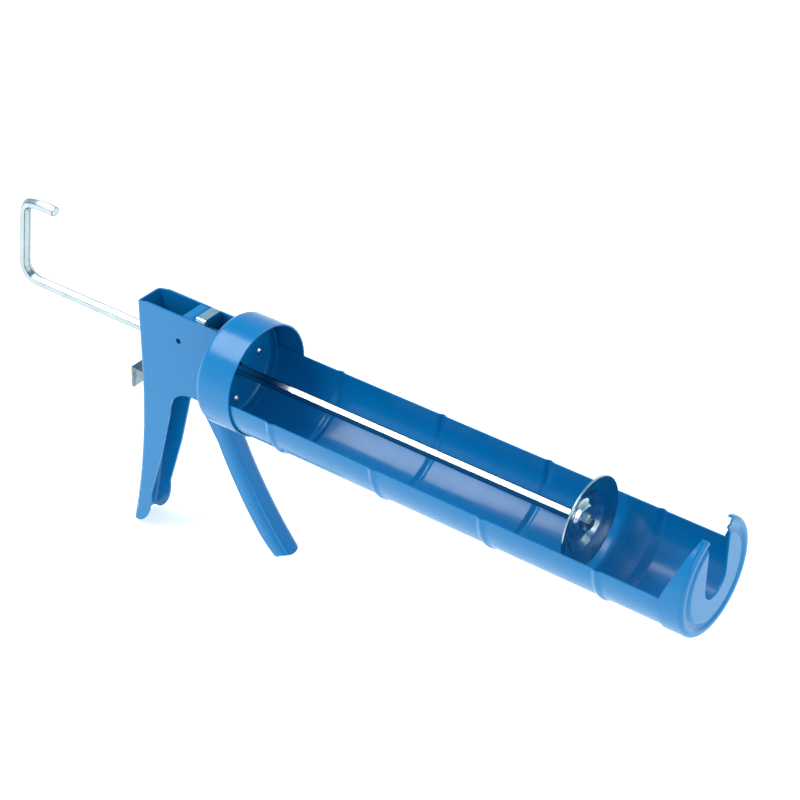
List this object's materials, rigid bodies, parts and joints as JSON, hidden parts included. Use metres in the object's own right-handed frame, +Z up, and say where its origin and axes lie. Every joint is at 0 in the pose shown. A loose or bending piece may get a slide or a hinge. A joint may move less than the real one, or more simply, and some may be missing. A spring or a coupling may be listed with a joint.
{
  "type": "caulking gun",
  "caption": "Half-barrel caulking gun with a hooked hexagonal push rod, dished plunger, turning cradle, squeeze trigger and thumb release.",
  "frame": {"origin": "where the rod's axis crosses the front rim of the collar", "axes": "+X along the push rod towards the nozzle end, +Z up, handle at -Z, +Y to the left"},
  "size_m": [0.5271, 0.0738, 0.213],
  "materials": {
    "blue_enamel": "gloss blue enamel",
    "bright_steel": "bright drawn steel",
    "zinc_plate": "bright zinc plate with a faint blue cast"
  },
  "bodies": {
    "handle": {"handle_channel": "blue_enamel", "handle_front_plate": "blue_enamel", "swivel_bush": "blue_enamel", "swivel_washer": "bright_steel", "swivel_retainer": "blue_enamel", "trigger_pin": "blue_enamel", "rod_guide_plate": "bright_steel", "spring_stud": "bright_steel", "drive_spring": "bright_steel", "brake_spring": "bright_steel"},
    "cradle": {"collar_cup": "blue_enamel", "cradle_rear_pan": "blue_enamel", "cradle_trough": "blue_enamel", "cradle_rivets": "bright_steel", "end_cap": "blue_enamel"},
    "rod": {"push_rod": "bright_steel", "plunger_disc": "zinc_plate", "plunger_backing": "zinc_plate", "plunger_washer": "zinc_plate", "plunger_nut": "bright_steel"},
    "trigger": {"trigger_lever": "blue_enamel", "trigger_sleeve": "bright_steel"},
    "drive": {"drive_plate_rear": "zinc_plate", "drive_plate_middle": "zinc_plate", "drive_plate_front": "zinc_plate"},
    "release": {"release_lever": "zinc_plate"}
  },
  "joints": [
    {"name": "trigger_pull", "type": "hinge", "parent": "handle", "child": "trigger", "pos_m": [-0.0626, 0, 0.0096], "axis": [0, 1, 0], "range_deg": [0, 34], "stiffness_Nm_per_rad": 0.35, "springref_deg": -20.05},
    {"name": "drive_stroke", "type": "slide", "parent": "handle", "child": "drive", "axis": [1, 0, 0], "range_m": [0, 0.0082], "deforming": ["drive_spring"]},
    {"name": "release_press", "type": "hinge", "parent": "handle", "child": "release", "pos_m": [-0.0955, 0, 0.014], "axis": [0, -1, 0], "range_deg": [0, 7], "stiffness_Nm_per_rad": 0.05, "springref_deg": -5.73, "deforming": ["brake_spring"]},
    {"name": "rod_slide", "type": "slide", "parent": "handle", "child": "rod", "axis": [1, 0, 0], "range_m": [-0.244, 0.076]},
    {"name": "cradle_turn", "type": "hinge", "parent": "handle", "child": "cradle", "pos_m": [0, 0, 0], "axis": [1, 0, 0], "continuous": true}
  ],
  "couplings": [
    {"joint": "drive_stroke", "follows": "trigger_pull", "m_per_rad": 0.01345}
  ]
}
